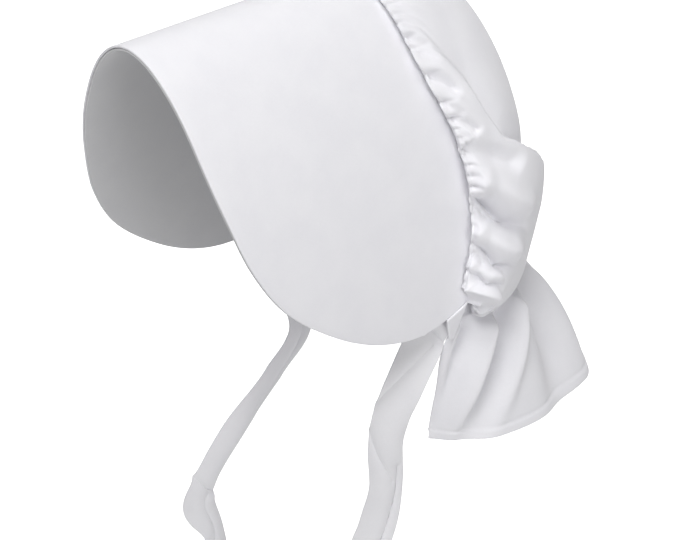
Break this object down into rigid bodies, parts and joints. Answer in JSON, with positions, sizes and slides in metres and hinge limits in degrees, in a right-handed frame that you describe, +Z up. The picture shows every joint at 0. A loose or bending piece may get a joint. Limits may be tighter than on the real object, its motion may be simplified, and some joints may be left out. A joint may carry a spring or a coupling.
{
  "type": "prairie bonnet",
  "caption": "Cloth prairie bonnet with a deep stiff brim, a gathered crown, a flared neck curtain and hanging chin ties.",
  "frame": {"origin": "where the top of the wearer's head touches the inside of the crown, just behind the brim's seam", "axes": "+Z up as worn, the face looks along -Y, the wearer's left is +X"},
  "size_m": [0.2233, 0.368, 0.5061],
  "materials": {
    "outer_cotton": "smooth white cotton",
    "lining_cotton": "smooth white cotton",
    "tie_cotton": "smooth white cotton"
  },
  "bodies": {
    "root": {"brim": "outer_cotton", "brim_lining": "lining_cotton", "crown": "outer_cotton", "neck_curtain": "outer_cotton", "corner_tab_left": "outer_cotton", "corner_tab_right": "outer_cotton", "tie_left": "tie_cotton", "tie_right": "tie_cotton"}
  },
  "joints": []
}
